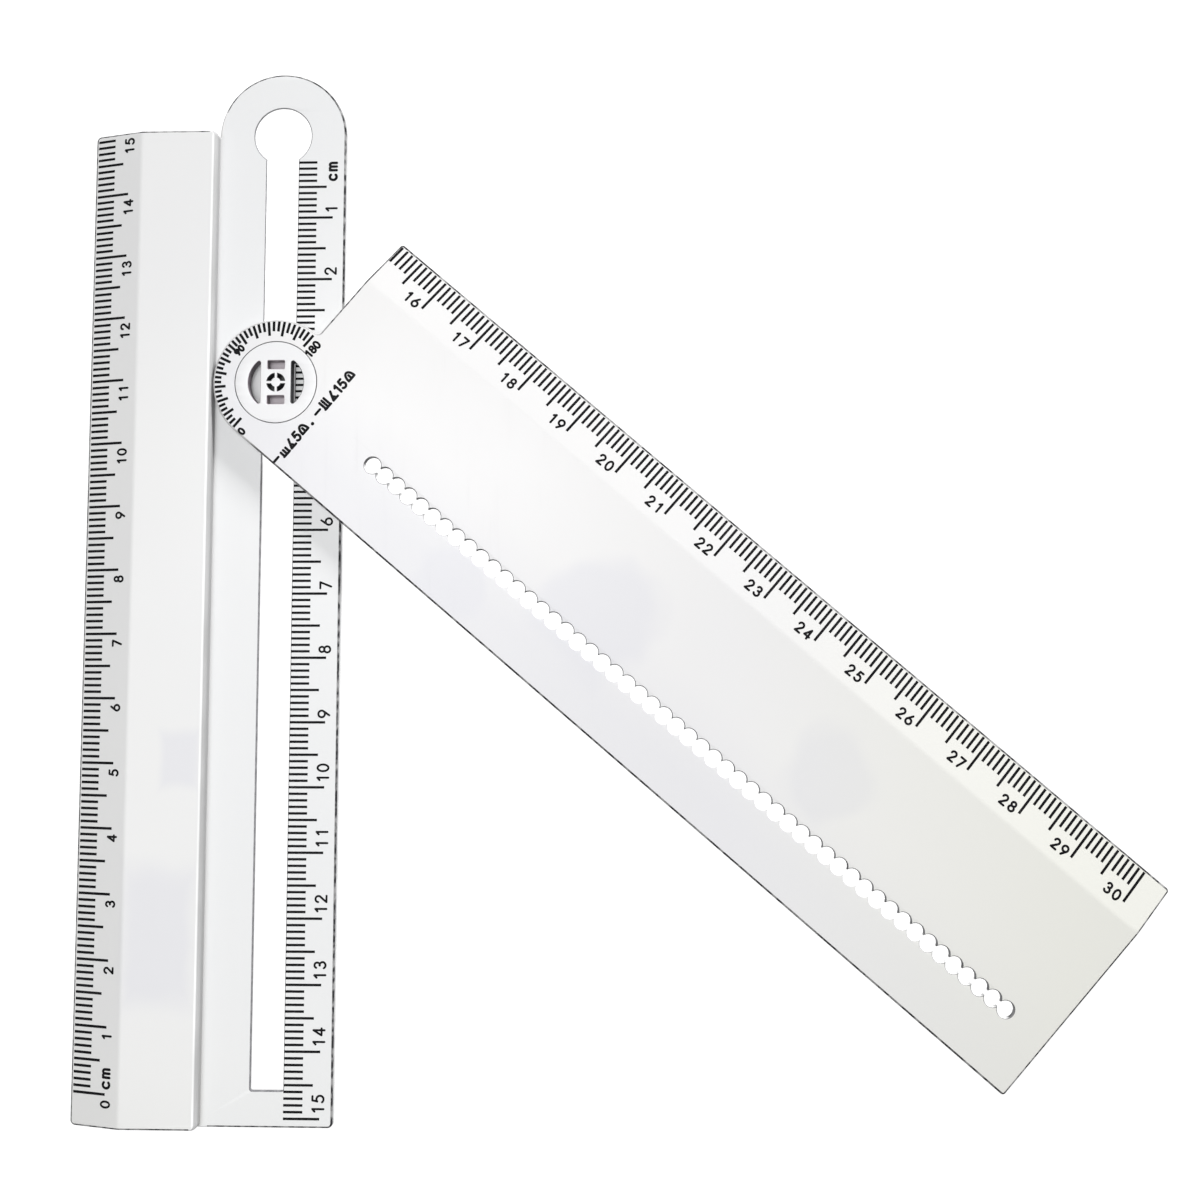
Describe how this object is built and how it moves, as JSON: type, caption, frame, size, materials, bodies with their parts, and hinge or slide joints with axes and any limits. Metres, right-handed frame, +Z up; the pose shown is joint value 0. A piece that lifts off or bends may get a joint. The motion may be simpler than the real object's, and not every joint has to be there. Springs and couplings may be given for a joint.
{
  "type": "folding slide ruler",
  "caption": "Flat plastic drafting ruler with a bevelled scale and a slotted plate, and a second bevelled ruler that swings and slides on it about a flush button.",
  "frame": {"origin": "underside of the base's thick half, midway across it and level with the zero line of its scale", "axes": "+X across the base towards its slotted plate, +Y along the base towards its round end, +Z up out of the printed face"},
  "size_m": [0.1664, 0.1649, 0.003],
  "materials": {
    "base_plastic": "white injection-moulded plastic, glossy, very slightly blue",
    "arm_plastic": "white injection-moulded plastic, glossy, very slightly warm",
    "button_plastic": "white injection-moulded plastic, satin gloss",
    "scale_ink": "black screen-printed ink: ticks, numbers and the protractor"
  },
  "bodies": {
    "base": {"base_ruler": "base_plastic"},
    "button": {"pivot_button": "button_plastic"},
    "arm": {"swing_arm": "arm_plastic"}
  },
  "joints": [
    {"name": "button_slide", "type": "slide", "parent": "base", "child": "button", "axis": [0, 1, 0], "range_m": [-0.1049, 0.0403]},
    {"name": "arm_swing", "type": "hinge", "parent": "button", "child": "arm", "pos_m": [0.02025, 0.10935, 0], "axis": [0, 0, 1], "range_deg": [-49.4, 59.6]}
  ]
}
